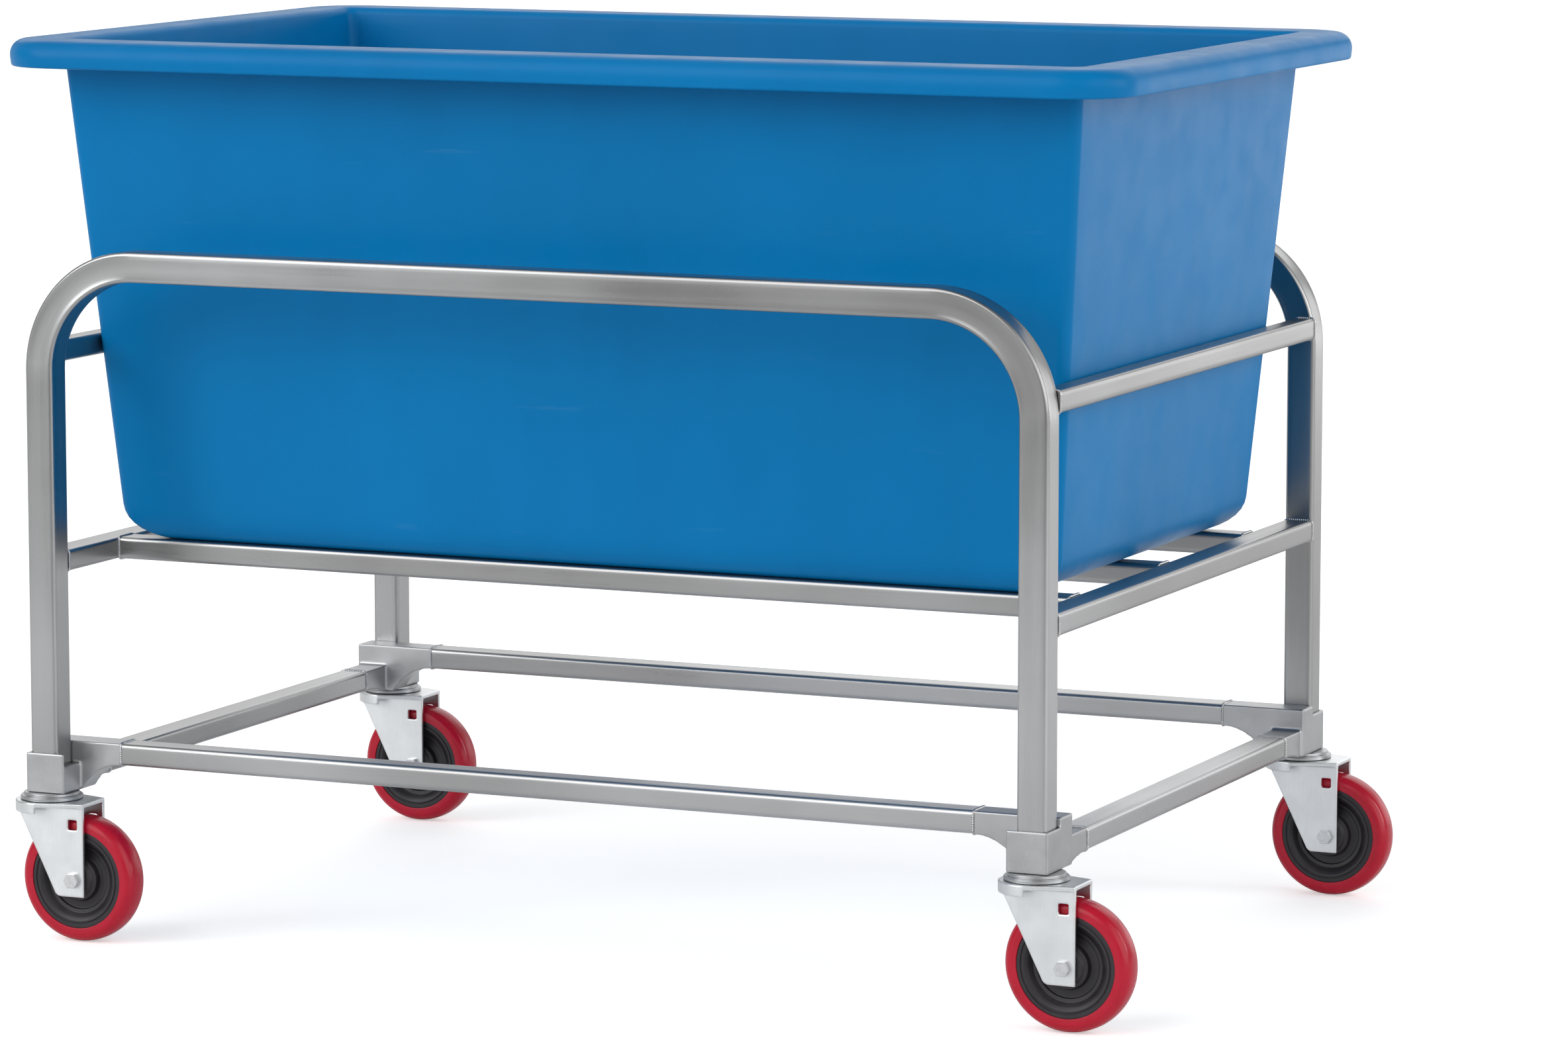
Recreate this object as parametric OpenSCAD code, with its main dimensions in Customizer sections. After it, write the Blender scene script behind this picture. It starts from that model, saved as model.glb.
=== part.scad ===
// Bulk tub cart: a moulded tub in a welded tube frame on four swivel casters.
// Units are millimetres, +Z is up, +X runs along the cart and -Y is the near long side.
// The origin is on the floor, in the middle of the whole cart's footprint.

/* [Frame] */
// Distance between leg centres along the cart
leg_span_x = 1050; // [850:10:1300]
// Distance between leg centres across the cart
leg_span_y = 730; // [600:10:900]
// Outer width of the square side frame tube
post_w = 30; // [25:1:38]
// Wall of every tube
tube_wall = 2.5; // [1.5:0.1:3.5]
// Outer corner rounding of every tube
tube_round = 4; // [3.6:0.1:6]
// Height of the side frames' top
side_top = 688; // [640:1:860]
// Centreline radius of the side frame bends
bend_r = 105; // [70:1:140]
// Height of the mid rails' top
mid_rail_top = 595; // [480:1:630]
// Width and height of the mid rails
mid_rail_w = 22; // [18:1:27]
// Height of the deck that the tub stands on
deck_top = 388; // [320:1:470]
// Width of the deck and base rails
rail_w = 30; // [25:1:36]
// Height of the deck and base rails
rail_h = 22; // [18:1:27]
// Gap between a leg's inner face and the long deck rail beside it
deck_rail_inset = 98; // [80:1:118]

/* [Corner castings] */
// Height of the castings' underside above the floor
casting_bottom = 148; // [145:1:175]
// Thickness of the socket floor that the caster stem passes
casting_floor = 12; // [10:0.5:16]
// Height of the socket wall
socket_h = 40; // [32:1:46]
// Socket wall on the outer sides
socket_wall_out = 3; // [2:0.5:6]
// Socket wall on the inner sides
socket_wall_in = 9; // [7:0.5:12]
// Gap between a leg and its socket
socket_clear = 0.1; // [0.05:0.05:0.3]
// Height of the base end rails above the castings' underside
end_rail_lift = 5; // [3:0.5:8]
// Length of the arm for the long base rail, from the leg centre
arm_x = 70; // [60:1:90]
// Length of the arm for the base end rail, from the leg centre
arm_y = 90; // [76:1:110]
// Length of the spigot that each arm pushes into its rail
spigot_l = 20; // [12:1:30]
// Gap between a spigot and the inside of its rail
spigot_clear = 0.3; // [0.1:0.05:0.5]

/* [Tub] */
// Overall height of the tub
tub_h = 501; // [420:1:600]
// Wall and floor thickness of the tub
tub_wall = 5; // [3:0.5:8]
// Gap between the tub's end wall and the mid rail
tub_clear = 0.8; // [0.4:0.1:3]
// How far the tub's side stands over the long deck rail
tub_side_over = 7; // [3:0.5:14]
// Slope of the end walls from upright
end_draft = 4.5; // [2:0.25:6]
// Slope of the side walls from upright
side_draft = 5.25; // [3:0.25:7]
// Corner radius of the tub in plan
tub_corner_r = 12; // [10:1:40]
// Inset of the bottom edge curve at the sides
bottom_round_side = 20; // [12:1:22]
// Inset of the bottom edge curve at the ends
bottom_round_end = 50; // [30:1:70]
// Height of the bottom edge curve
bottom_round_rise = 35; // [20:1:60]
// How far the rim stands out from the wall
rim_overhang = 54; // [35:1:70]
// Height of the turned down rim
rim_h = 27; // [20:1:40]
// Radius of the rim's outer top edge
rim_round = 18; // [6:1:20]
// Radius of the rim's inner top edge
rim_inner_round = 8; // [4:1:12]

/* [Casters] */
// Wheel diameter over the tyre
wheel_d = 127; // [110:1:130]
// Tyre width
tyre_w = 32; // [26:1:36]
// Outer radius of the wheel core, which the tyre is cast on
core_r = 49; // [42:1:51]
// How far the wheel axle trails the swivel axis
trail = 35; // [28:1:42]
// Sheet thickness of the fork legs
fork_leg_t = 4; // [3:0.5:5]
// Sheet thickness of the fork crown
crown_t = 4.5; // [3.5:0.5:5.5]
// Gap between tyre and each fork leg
wheel_side_gap = 2; // [1.5:0.5:4]
// Outer radius of the fork crown
crown_r = 36; // [34:0.5:42]
// Radius of the upper race
race_r = 31; // [28:0.5:33]
// Ball diameter
ball_d = 5; // [4:0.5:5.5]
// Number of balls in a race
ball_count = 20; // [12:1:22]
// Pitch radius of the balls
ball_pitch_r = 21.5; // [19:0.5:24]
// Radius of the kingpin and its stem
kingpin_r = 6.3; // [5:0.1:7.5]
// Radius of the axle bolt
axle_r = 5; // [4:0.5:6]
// Outer radius of the spanner bush
bush_r = 8; // [7.5:0.5:10]
// Radial running clearance of pins in their holes
run_clear = 0.06; // [0.02:0.01:0.1]
// Side of the square window in each fork leg
window_w = 10; // [6:0.5:12]

/* [Hidden] */
$fn = 48;
eps = 0.01;
leg_x = leg_span_x / 2;
leg_y = leg_span_y / 2;
wheel_r = wheel_d / 2;

// Heights in the base
leg_bottom = casting_bottom + casting_floor;
end_rail_bottom = casting_bottom + end_rail_lift;
long_rail_bottom = end_rail_bottom + rail_h;
// Middle of the long rails across the cart: those of the base stand just inside the legs
base_long_y = leg_y - post_w / 2 - rail_w / 2;
deck_long_y = leg_y - post_w / 2 - deck_rail_inset - rail_w / 2;

// Tub: its end walls just clear the mid rails, its sides stand over the deck rails
tub_top = deck_top + tub_h;
function half_l(z) = leg_x + post_w / 2 - mid_rail_w - tub_clear + (z - mid_rail_top) * tan(end_draft);
function half_w(z) = deck_long_y + rail_w / 2 + tub_side_over + (z - deck_top) * tan(side_draft);
rim_half_l = half_l(tub_top) + rim_overhang;
rim_fillet = 12;

// The casters trail towards +X, so the frame stands this far off the footprint's middle
frame_x = (rim_half_l - (leg_x + trail + wheel_r)) / 2;

// Caster heights, from the casting down
race_t = 4;
race_lip = 7;
race_groove = 0.8;
ball_play = 0.05;
race_under = casting_bottom - race_t;
ball_z = race_under - ball_d / 2 + race_groove;
crown_top = ball_z - ball_d / 2 + race_groove;
crown_bottom = crown_top - crown_t;
crown_skirt = 11;
kingpin_head_r = 12;
kingpin_head_h = 4.5;
kingpin_head_gap = 0.4;
stem_nut_af = 19;
stem_nut_h = 10;
stem_proud = 14;
stem_clear = 0.2;

// Fork legs and axle
leg_in = tyre_w / 2 + wheel_side_gap;
leg_out = leg_in + fork_leg_t;
leg_rear = trail + 12;
leg_low = wheel_r - 17;
leg_low_front = trail - 22;
window_rise = 55.5;
head_af = 14;
head_h = 5;
washer_r = 10;
washer_t = 1.6;
nut_h = 7;
thread_proud = 2;
bush_gap = 0.1;

// Wheel profile
hub_r = 20;
hub_half = leg_in - 1;
web_half = 6;
rim_band = 9;
shoulder = 7;

CORNERS = [
    ["front_left", -1, -1],
    ["front_right", 1, -1],
    ["rear_left", -1, 1],
    ["rear_right", 1, 1],
];
CORNER_PARTS = [
    "corner_casting", "caster_kingpin", "caster_upper_race", "caster_balls",
    "caster_fork", "axle_bolt_set", "spanner_bush", "wheel_core", "wheel_tyre",
];

// ---- Tube stock ----

// Rectangle with rounded corners, centred
module rounded_rect(w, h, r) {
    square([w, h - 2 * r], center = true);
    square([w - 2 * r, h], center = true);
    for (x = [-1, 1], y = [-1, 1])
        translate([x * (w / 2 - r), y * (h / 2 - r)]) circle(r);
}

module tube_section(w, h) {
    difference() {
        rounded_rect(w, h, tube_round);
        rounded_rect(w - 2 * tube_wall, h - 2 * tube_wall, tube_round - tube_wall);
    }
}

// A straight tube along X or along Y, centred, with its height upright
module tube_x(l, w, h) {
    rotate([90, 0, 90]) linear_extrude(l, center = true) tube_section(w, h);
}

module tube_y(l, w, h) {
    rotate([90, 0, 0]) linear_extrude(l, center = true) tube_section(w, h);
}

// ---- Frame ----

// One side frame: a square tube bent into an inverted U, its legs down in the castings
module side_frame() {
    bend_z = side_top - post_w / 2 - bend_r;
    color("silver") {
        translate([0, 0, side_top - post_w / 2]) tube_x(2 * (leg_x - bend_r), post_w, post_w);
        for (s = [0, 1]) mirror([s, 0, 0]) {
            translate([leg_x - bend_r, 0, bend_z]) rotate([90, 0, 0])
                rotate_extrude(angle = 90) translate([bend_r, 0]) tube_section(post_w, post_w);
            translate([leg_x, 0, leg_bottom])
                linear_extrude(bend_z - leg_bottom) tube_section(post_w, post_w);
        }
    }
}

module mid_rail() {
    color("silver") tube_y(leg_span_y - post_w, mid_rail_w, mid_rail_w);
}

module deck_end_rail() {
    color("silver") tube_y(leg_span_y - post_w, rail_w, rail_h);
}

module deck_long_rail() {
    color("silver") tube_x(leg_span_x - rail_w, rail_w, rail_h);
}

module base_long_rail() {
    color("silver") tube_x(2 * (leg_x - arm_x), rail_w, rail_h);
}

module base_end_rail() {
    color("silver") tube_y(2 * (leg_y - arm_y), rail_w, rail_h);
}

// Spigot of an arm, which fills the inside of a rail with a small gap
module spigot_section() {
    rounded_rect(rail_w - 2 * (tube_wall + spigot_clear), rail_h - 2 * (tube_wall + spigot_clear),
                 tube_round - tube_wall);
}

// Corner casting, drawn about the leg's centre with +X and +Y pointing inboard
module corner_casting() {
    low = -post_w / 2 - socket_wall_out;
    inner = post_w / 2 + socket_wall_in;
    arm_in = post_w / 2 + rail_w;
    flare_r = 90;
    flare_end = arm_y - 10;
    foot_rise = long_rail_bottom - casting_bottom;
    foot_l = arm_x - inner;
    foot_r = (foot_l * foot_l + foot_rise * foot_rise) / (2 * foot_rise);
    notch = post_w / 2;
    color("gainsboro") {
        difference() {
            union() {
                // socket block
                translate([low, low, casting_bottom]) cube([inner - low, arm_in - low, socket_h]);
                // arm for the long base rail, with the foot under it
                translate([low, post_w / 2, long_rail_bottom]) cube([arm_x - low, rail_w, rail_h]);
                translate([0, post_w / 2, casting_bottom]) cube([arm_x, rail_w, foot_rise + eps]);
                // arm for the base end rail, with the flare under it
                translate([-rail_w / 2, 0, end_rail_bottom]) cube([rail_w, arm_y, rail_h]);
                translate([-rail_w / 2, 0, casting_bottom]) cube([rail_w, flare_end, end_rail_lift + eps]);
            }
            // pocket for the leg
            translate([0, 0, leg_bottom]) linear_extrude(2 * socket_h)
                square(post_w + 2 * socket_clear, center = true);
            // notch that shows the foot of the leg on the inner side
            translate([0, -notch, long_rail_bottom]) cube([inner + eps, 2 * notch, socket_h]);
            // hollow curve under the long arm
            translate([arm_x, 0, long_rail_bottom - foot_r]) rotate([-90, 0, 0])
                cylinder(r = foot_r, h = arm_in + eps);
            // long shallow curve under the end arm
            translate([-rail_w, flare_end, end_rail_bottom - flare_r]) rotate([0, 90, 0])
                cylinder(r = flare_r, h = 2 * rail_w, $fn = 96);
            // hole for the caster stem
            translate([0, 0, casting_bottom - eps])
                cylinder(r = kingpin_r + stem_clear, h = casting_floor + 2 * eps);
        }
        translate([arm_x - eps, post_w / 2 + rail_w / 2, long_rail_bottom + rail_h / 2])
            rotate([90, 0, 90]) linear_extrude(spigot_l) spigot_section();
        translate([0, arm_y - eps, end_rail_bottom + rail_h / 2])
            rotate([-90, 0, 0]) linear_extrude(spigot_l) spigot_section();
    }
}

// ---- Tub ----

corner_steps = 8;
ring_size = 4 * (corner_steps + 1);

// Rounded rectangle of points at one height
function ring(hl, hw, r, z) = [
    for (q = [0:3]) let (sx = (q == 0 || q == 3) ? 1 : -1, sy = q < 2 ? 1 : -1)
        for (i = [0:corner_steps]) let (a = 90 * (q + i / corner_steps))
            [sx * (hl - r) + r * cos(a), sy * (hw - r) + r * sin(a), z]
];

// A ring that stands outside the outer wall line by ol at the ends and ow at the sides
function wall_ring(ol, ow, z) =
    ring(half_l(z) + ol, half_w(z) + ow, max(tub_corner_r + ow, bottom_round_side / 2), z);

// Bottom edge curve, from the flat floor to the wall, inset by the wall's thickness t
function bottom_curve(t) = [
    for (a = [0:15:90]) [
        -t - bottom_round_end * (1 - sin(a)),
        -t - bottom_round_side * (1 - sin(a)),
        deck_top + t + bottom_round_rise * (1 - cos(a)),
    ]
];

// The rolled rim: out under the flange, down and round the lip, and back over the top
function rim_curve() = let (under = tub_top - tub_wall, in = rim_overhang - tub_wall) concat(
    [for (a = [0:30:90]) [rim_fillet * (1 - cos(a)), under - rim_fillet * (1 - sin(a))]],
    [for (a = [90:-30:0]) [in - rim_fillet * (1 - cos(a)), under - rim_fillet * (1 - sin(a))]],
    [[in, tub_top - rim_h], [rim_overhang, tub_top - rim_h]],
    [for (a = [0:15:90]) [rim_overhang - rim_round * (1 - cos(a)), tub_top - rim_round * (1 - sin(a))]],
    [for (a = [90:-15:0])
        [rim_inner_round - tub_wall - rim_inner_round * cos(a),
         tub_top - rim_inner_round * (1 - sin(a))]]
);

function reversed(v) = [for (i = [len(v) - 1:-1:0]) v[i]];

module tub() {
    section = concat(
        bottom_curve(0),
        [for (p = rim_curve()) [p[0], p[0], p[1]]],
        reversed(bottom_curve(tub_wall))
    );
    points = [for (p = section) each wall_ring(p[0], p[1], p[2])];
    last = len(section) - 1;
    sides = [
        for (k = [0:last - 1]) for (i = [0:ring_size - 1]) let (j = (i + 1) % ring_size)
            [k * ring_size + i, (k + 1) * ring_size + i, (k + 1) * ring_size + j, k * ring_size + j]
    ];
    floor_out = [for (i = [0:ring_size - 1]) i];
    floor_in = reversed([for (i = [0:ring_size - 1]) last * ring_size + i]);
    color("dodgerblue") polyhedron(points, concat([floor_out], sides, [floor_in]), convexity = 6);
}

// ---- Casters, drawn about the swivel axis with the wheel trailing towards +X ----

// Kingpin: riveted head under the crown, stem up through the casting floor
module caster_kingpin() {
    head_top = crown_bottom - kingpin_head_gap;
    color("lightgray") {
        translate([0, 0, head_top - kingpin_head_h]) cylinder(r = kingpin_head_r, h = kingpin_head_h);
        translate([0, 0, head_top - eps])
            cylinder(r = kingpin_r, h = leg_bottom + stem_nut_h + stem_proud - head_top);
    }
}

module stem_nuts() {
    color("lightgray") for (c = CORNERS) translate([c[1] * leg_x, c[2] * leg_y, leg_bottom])
        difference() {
            cylinder(d = stem_nut_af / cos(30), h = stem_nut_h, $fn = 6);
            translate([0, 0, -eps]) cylinder(r = kingpin_r + run_clear, h = stem_nut_h + 2 * eps);
        }
}

// Groove that the balls run in
module ball_groove() {
    translate([0, 0, ball_z]) rotate_extrude()
        translate([ball_pitch_r, 0]) circle(r = ball_d / 2 + ball_play);
}

// Pressed ring fixed under the casting, its lip turned down over the balls
module caster_upper_race() {
    lip_t = 2.5;
    color("lightgray") difference() {
        rotate_extrude() polygon([
            [kingpin_r + run_clear, casting_bottom], [race_r - 2, casting_bottom],
            [race_r, casting_bottom - 2], [race_r, casting_bottom - race_lip],
            [race_r - lip_t, casting_bottom - race_lip], [race_r - lip_t, race_under],
            [kingpin_r + run_clear, race_under],
        ]);
        ball_groove();
    }
}

module caster_balls() {
    color("white") for (i = [0:ball_count - 1]) rotate([0, 0, 360 * i / ball_count])
        translate([ball_pitch_r, 0, ball_z]) sphere(d = ball_d);
}

// Side view of a fork leg: straight trailing edge, leading edge swept in under the crown
module leg_outline() {
    sweep_low = [-18, wheel_r + 52];
    sweep_pull = [-24, crown_bottom - 8];
    sweep_high = [-crown_r * 3 / 4, crown_bottom - 4];
    toe = 8;
    polygon(concat(
        [[leg_rear, crown_bottom + 1], [leg_rear, leg_low]],
        [for (a = [270:-15:195]) [leg_low_front + toe + toe * cos(a), leg_low + toe + toe * sin(a)]],
        [for (t = [0:0.25:1]) (1 - t) * (1 - t) * sweep_low + 2 * t * (1 - t) * sweep_pull + t * t * sweep_high],
        [[-crown_r * 3 / 4, crown_bottom + 1]]
    ));
}

// Pressed fork: a crown with a rolled front edge, and two legs with a square window each
module caster_fork() {
    color("whitesmoke") difference() {
        union() {
            rotate([0, 0, 90]) rotate_extrude(angle = 180) polygon([
                [kingpin_r / 2, crown_bottom], [crown_r - fork_leg_t, crown_bottom],
                [crown_r - fork_leg_t, crown_top - crown_skirt], [crown_r, crown_top - crown_skirt],
                [crown_r, crown_top], [kingpin_r / 2, crown_top],
            ]);
            translate([0, 0, crown_bottom]) linear_extrude(crown_t)
                polygon([[0, -crown_r], [leg_rear, -leg_out], [leg_rear, leg_out], [0, crown_r]]);
            for (y = [leg_in, -leg_out]) translate([0, y + fork_leg_t, 0]) rotate([90, 0, 0])
                linear_extrude(fork_leg_t) leg_outline();
        }
        ball_groove();
        translate([0, 0, crown_bottom - eps]) cylinder(r = kingpin_r + run_clear, h = crown_t + 2 * eps);
        translate([trail, 0, wheel_r]) rotate([90, 0, 0])
            cylinder(r = axle_r + run_clear, h = 3 * leg_out, center = true);
        translate([trail, 0, wheel_r + window_rise]) cube([window_w, 3 * leg_out, window_w], center = true);
    }
}

// Axle bolt from the near side, with a washer and a nut on the far side
module axle_bolt_set() {
    far = leg_out + washer_t + nut_h;
    color("lightgray") translate([trail, 0, wheel_r]) {
        rotate([90, 0, 0]) translate([0, 0, leg_out]) cylinder(d = head_af / cos(30), h = head_h, $fn = 6);
        rotate([-90, 0, 0]) translate([0, 0, -leg_out - eps])
            cylinder(r = axle_r, h = leg_out + far + thread_proud + eps);
        rotate([-90, 0, 0]) difference() {
            union() {
                translate([0, 0, leg_out]) cylinder(r = washer_r, h = washer_t);
                translate([0, 0, leg_out + washer_t]) cylinder(d = head_af / cos(30), h = nut_h, $fn = 6);
            }
            translate([0, 0, leg_out - eps]) cylinder(r = axle_r + run_clear, h = washer_t + nut_h + 2 * eps);
        }
    }
}

// Tube clamped between the fork legs, which the wheel turns on
module spanner_bush() {
    color("lightgray") translate([trail, 0, wheel_r]) rotate([90, 0, 0]) difference() {
        cylinder(r = bush_r, h = 2 * (leg_in - bush_gap), center = true);
        cylinder(r = axle_r + run_clear, h = 3 * leg_in, center = true);
    }
}

// Moulded core: wide hub, thin web and a stepped outer band
module wheel_core() {
    step = 3;
    color("dimgray") translate([trail, 0, wheel_r]) rotate([90, 0, 0]) rotate_extrude() polygon([
        [bush_r + run_clear, -hub_half], [hub_r - step, -hub_half], [hub_r, -hub_half + step],
        [hub_r + step, -web_half], [core_r - rim_band - 2 * step, -web_half],
        [core_r - rim_band - step, -web_half - step], [core_r - rim_band, -tyre_w / 2 + 1],
        [core_r, -tyre_w / 2 + 1], [core_r, tyre_w / 2 - 1], [core_r - rim_band, tyre_w / 2 - 1],
        [core_r - rim_band - step, web_half + step], [core_r - rim_band - 2 * step, web_half],
        [hub_r + step, web_half], [hub_r, hub_half - step], [hub_r - step, hub_half],
        [bush_r + run_clear, hub_half],
    ]);
}

// Tyre cast onto the core, with rounded shoulders
module wheel_tyre() {
    color("crimson") translate([trail, 0, wheel_r]) rotate([90, 0, 0]) rotate_extrude() {
        translate([core_r, -tyre_w / 2]) square([wheel_r - core_r - shoulder, tyre_w]);
        translate([core_r, -tyre_w / 2 + shoulder]) square([wheel_r - core_r, tyre_w - 2 * shoulder]);
        for (y = [-1, 1]) translate([wheel_r - shoulder, y * (tyre_w / 2 - shoulder)]) circle(shoulder);
    }
}

// ---- Assembly ----

// Moves the whole cart so that the origin is in the middle of its footprint
module placed() {
    translate([frame_x, 0, 0]) children();
}

// A corner's castings point inboard, so they are mirrored from corner to corner
module inboard(c) {
    translate([c[1] * leg_x, c[2] * leg_y, 0])
        mirror([c[1] > 0 ? 1 : 0, 0, 0]) mirror([0, c[2] > 0 ? 1 : 0, 0]) children();
}

// The casters all trail the same way
module under_leg(c) {
    translate([c[1] * leg_x, c[2] * leg_y, 0]) children();
}

deck_mid_z = deck_top - rail_h / 2;
mid_rail_x = leg_x + post_w / 2 - mid_rail_w / 2;
mid_rail_z = mid_rail_top - mid_rail_w / 2;
base_long_z = long_rail_bottom + rail_h / 2;
base_end_z = end_rail_bottom + rail_h / 2;

placed() tub();
placed() translate([0, -leg_y, 0]) side_frame();  // side_frame_front
placed() translate([0, leg_y, 0]) side_frame();  // side_frame_rear
placed() translate([-mid_rail_x, 0, mid_rail_z]) mid_rail();  // mid_rail_left
placed() translate([mid_rail_x, 0, mid_rail_z]) mid_rail();  // mid_rail_right
placed() translate([-leg_x, 0, deck_mid_z]) deck_end_rail();  // deck_end_rail_left
placed() translate([leg_x, 0, deck_mid_z]) deck_end_rail();  // deck_end_rail_right
placed() translate([0, -deck_long_y, deck_mid_z]) deck_long_rail();  // deck_long_rail_front
placed() translate([0, deck_long_y, deck_mid_z]) deck_long_rail();  // deck_long_rail_rear
placed() translate([0, 0, deck_mid_z]) deck_long_rail();  // deck_centre_rail
placed() translate([0, -base_long_y, base_long_z]) base_long_rail();  // base_long_rail_front
placed() translate([0, base_long_y, base_long_z]) base_long_rail();  // base_long_rail_rear
placed() translate([-leg_x, 0, base_end_z]) base_end_rail();  // base_end_rail_left
placed() translate([leg_x, 0, base_end_z]) base_end_rail();  // base_end_rail_right
placed() stem_nuts();

for (c = CORNERS) placed() {
    inboard(c) corner_casting();
    under_leg(c) caster_kingpin();
    under_leg(c) caster_upper_race();
    under_leg(c) caster_balls();
    under_leg(c) caster_fork();
    under_leg(c) axle_bolt_set();
    under_leg(c) spanner_bush();
    under_leg(c) wheel_core();
    under_leg(c) wheel_tyre();
}
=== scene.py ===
"""Bulk tub cart: a moulded tub in a welded frame of square aluminium tube, on four swivel casters.

The script follows the cart as it is put together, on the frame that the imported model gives.
All sizes are in metres, +X runs along the cart, -Y is the near long side and the floor is z = 0.
"""
import math

import bpy
import numpy as np
from mathutils import Matrix, Vector


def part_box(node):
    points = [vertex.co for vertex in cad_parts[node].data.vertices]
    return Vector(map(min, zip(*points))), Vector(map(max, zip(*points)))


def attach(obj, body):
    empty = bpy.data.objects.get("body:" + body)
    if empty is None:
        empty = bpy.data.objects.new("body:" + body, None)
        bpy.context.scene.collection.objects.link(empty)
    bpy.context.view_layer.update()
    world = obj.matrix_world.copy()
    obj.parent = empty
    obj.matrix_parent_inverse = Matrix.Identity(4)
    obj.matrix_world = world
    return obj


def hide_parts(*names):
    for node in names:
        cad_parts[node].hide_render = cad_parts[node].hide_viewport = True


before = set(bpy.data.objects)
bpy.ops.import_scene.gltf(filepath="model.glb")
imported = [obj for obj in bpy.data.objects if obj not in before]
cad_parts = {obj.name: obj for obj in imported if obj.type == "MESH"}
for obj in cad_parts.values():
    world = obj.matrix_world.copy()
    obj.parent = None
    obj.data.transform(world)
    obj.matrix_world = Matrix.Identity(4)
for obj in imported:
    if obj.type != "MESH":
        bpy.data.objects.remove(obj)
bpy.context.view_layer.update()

# ---- Studio ----
# A pale floor that reaches past the view, a surround of soft light and dark patches, and large
# soft lights. The camera looks along the cart from beyond its right end. The floor glows for
# the camera, and metal sees it dimmer toward the front.
camera_place = Vector((2.6914, -5.8282, 1.2707))
camera_yaw = math.radians(24.04)
camera_pitch = math.radians(7.71)
camera_back = Vector((
    math.sin(camera_yaw) * math.cos(camera_pitch),
    -math.cos(camera_yaw) * math.cos(camera_pitch),
    math.sin(camera_pitch),
))
camera_right = Vector((math.cos(camera_yaw), math.sin(camera_yaw), 0))
camera_up = camera_back.cross(camera_right)
camera = bpy.data.objects.new("studio_camera", bpy.data.cameras.new("studio_camera"))
camera.data.sensor_width = 36
camera.data.lens = 148.3
camera.data.shift_y = 0.0014
turned = Matrix((camera_right, camera_up, camera_back)).transposed().to_4x4()
camera.matrix_world = Matrix.Translation(camera_place) @ turned
camera.data.clip_end = 200
bpy.context.scene.collection.objects.link(camera)
bpy.context.scene.camera = camera
bpy.context.scene.view_settings.view_transform = "Standard"


def studio_light(kind, name, place, aim, strength, **settings):
    """A light at place that faces aim: a distant soft one, or a flat panel that metal reflects.
    The camera doesn't see it."""
    light = bpy.data.lights.new(name, kind)
    light.energy = strength
    for setting, value in settings.items():
        setattr(light, setting, value)
    holder = bpy.data.objects.new(name, light)
    toward = (Vector(place) - Vector(aim)).to_track_quat("Z", "Y").to_matrix().to_4x4()
    holder.matrix_world = Matrix.Translation(place) @ toward
    holder.visible_camera = False
    bpy.context.scene.collection.objects.link(holder)
    return holder


studio_light("SUN", "key_light", (-2.6, -4.6, 3.6), (0, 0, 0.5), 1.45, angle=1.0)
studio_light("SUN", "end_light", (4.6, -1.2, 2.6), (0, 0, 0.6), 0.9, angle=1.0)
studio_light("SUN", "back_light", (-1.5, 4.4, 3.6), (0, 0, 0.6), 0.5, angle=1.0)
studio_light("AREA", "front_panel", (-3.4, -3.6, 2.2), (-0.2, 0, 0.6), 30,
             shape="RECTANGLE", size=0.9, size_y=2.2)
studio_light("AREA", "end_panel", (3.9, 0.9, 1.7), (0.5, 0, 0.6), 26,
             shape="RECTANGLE", size=1.1, size_y=2.0)
rear_panel = studio_light("AREA", "rear_panel", (2.1, 3.9, 0.8), (0.4, 0, 0.5), 12,
                          shape="RECTANGLE", size=2.2, size_y=1.4)
rear_panel.visible_diffuse = False

world = bpy.data.worlds.new("studio_surround")
bpy.context.scene.world = world
world.use_nodes = True
sky = world.node_tree.nodes
sky_links = world.node_tree.links
sky_place = sky.new("ShaderNodeTexCoord")
sky_panels = sky.new("ShaderNodeTexNoise")
sky_panels.inputs["Scale"].default_value = 1.7
sky_panels.inputs["Detail"].default_value = 1.0
sky_ramp = sky.new("ShaderNodeValToRGB")
sky_links.new(sky_place.outputs["Generated"], sky_panels.inputs["Vector"])
sky_links.new(sky_panels.outputs["Fac"], sky_ramp.inputs["Fac"])
sky_links.new(sky_ramp.outputs["Color"], sky["Background"].inputs["Color"])
for stop, place, tone in zip(sky_ramp.color_ramp.elements, (0.38, 0.62), (0.22, 1.0)):
    stop.position = place
    stop.color = (tone, tone, tone, 1)
sky["Background"].inputs["Strength"].default_value = 0.75


def mesh_piece(name, points, faces):
    """A smooth shaded object at the origin with its place in its mesh."""
    mesh = bpy.data.meshes.new(name)
    mesh.from_pydata(np.asarray(points, float).tolist(), [], [list(map(int, f)) for f in faces])
    mesh.validate()
    mesh.polygons.foreach_set("use_smooth", np.full(len(mesh.polygons), True))
    obj = bpy.data.objects.new(name, mesh)
    bpy.context.scene.collection.objects.link(obj)
    return obj


def noise_layer(shade, source, scale, detail=3.0, stretch=(1, 1, 1), roughness=0.55):
    """Noise over the coordinates that source gives, stretched per axis."""
    nodes, links = shade
    mapping = nodes.new("ShaderNodeMapping")
    mapping.inputs["Scale"].default_value = stretch
    links.new(source, mapping.inputs["Vector"])
    noise = nodes.new("ShaderNodeTexNoise")
    noise.inputs["Scale"].default_value = scale
    noise.inputs["Detail"].default_value = detail
    noise.inputs["Roughness"].default_value = roughness
    links.new(mapping.outputs[0], noise.inputs["Vector"])
    return noise.outputs["Fac"]


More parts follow.
